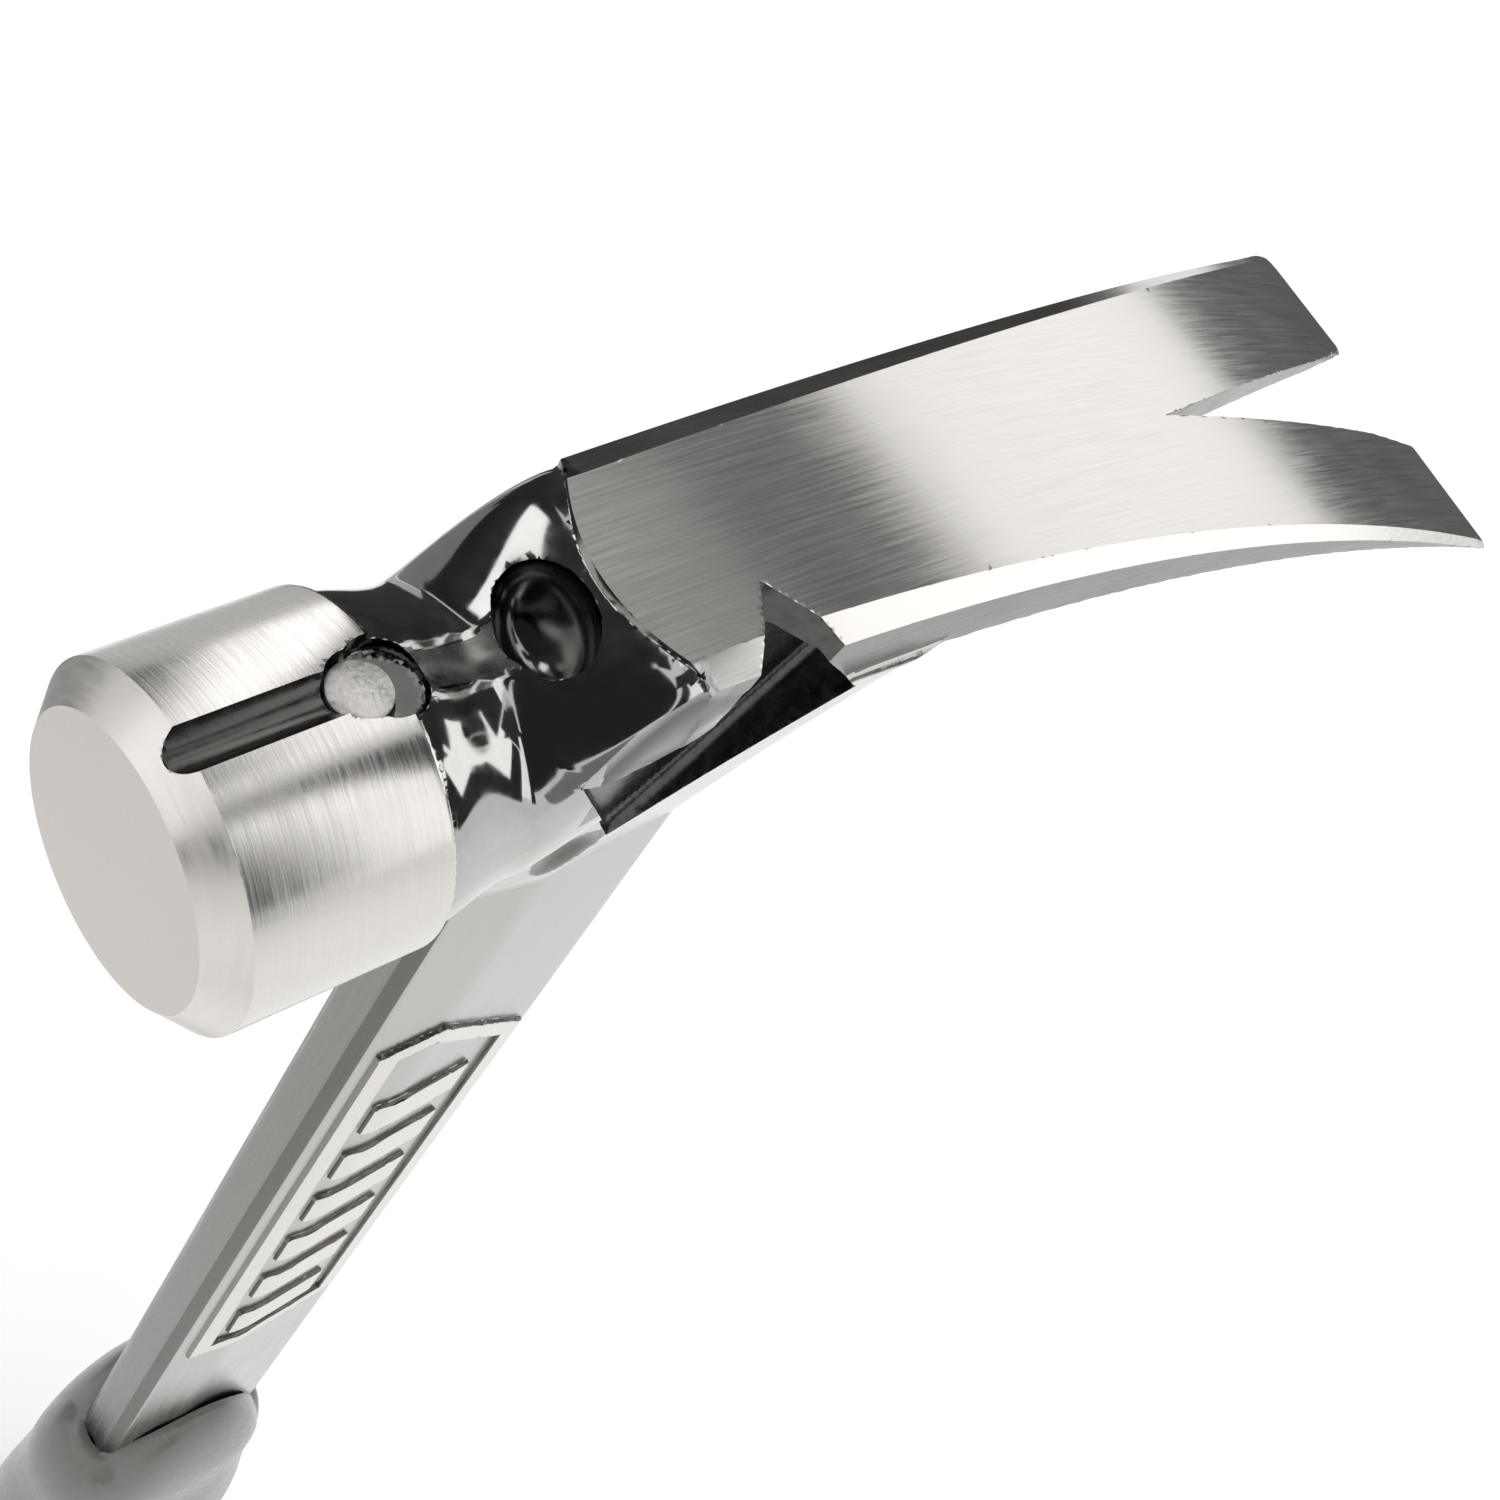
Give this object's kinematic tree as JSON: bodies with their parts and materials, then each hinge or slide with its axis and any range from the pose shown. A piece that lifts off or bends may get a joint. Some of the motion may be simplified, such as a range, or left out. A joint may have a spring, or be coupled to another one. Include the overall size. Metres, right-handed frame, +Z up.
{
  "type": "straight claw hammer",
  "caption": "One-piece forged steel hammer with a round poll, straight forked claw, magnetic nail starter, side nail puller and moulded grip.",
  "frame": {"origin": "centre of the flat butt, on the shank's axis", "axes": "+Z up the handle towards the head, +X towards the striking face, +Y towards the side with the nail-puller notch"},
  "size_m": [0.1517, 0.0416, 0.3464],
  "materials": {
    "forged_steel": "polished neck, turned poll, brushed claw and shank",
    "nickel_magnet": "grainy nickel",
    "hard_core_plastic": "moulded",
    "soft_grip": "satin"
  },
  "bodies": {
    "root": {"hammer_forging": "forged_steel", "nail_magnet": "nickel_magnet", "grip_core": "hard_core_plastic", "grip_sleeve": "soft_grip"}
  },
  "joints": []
}
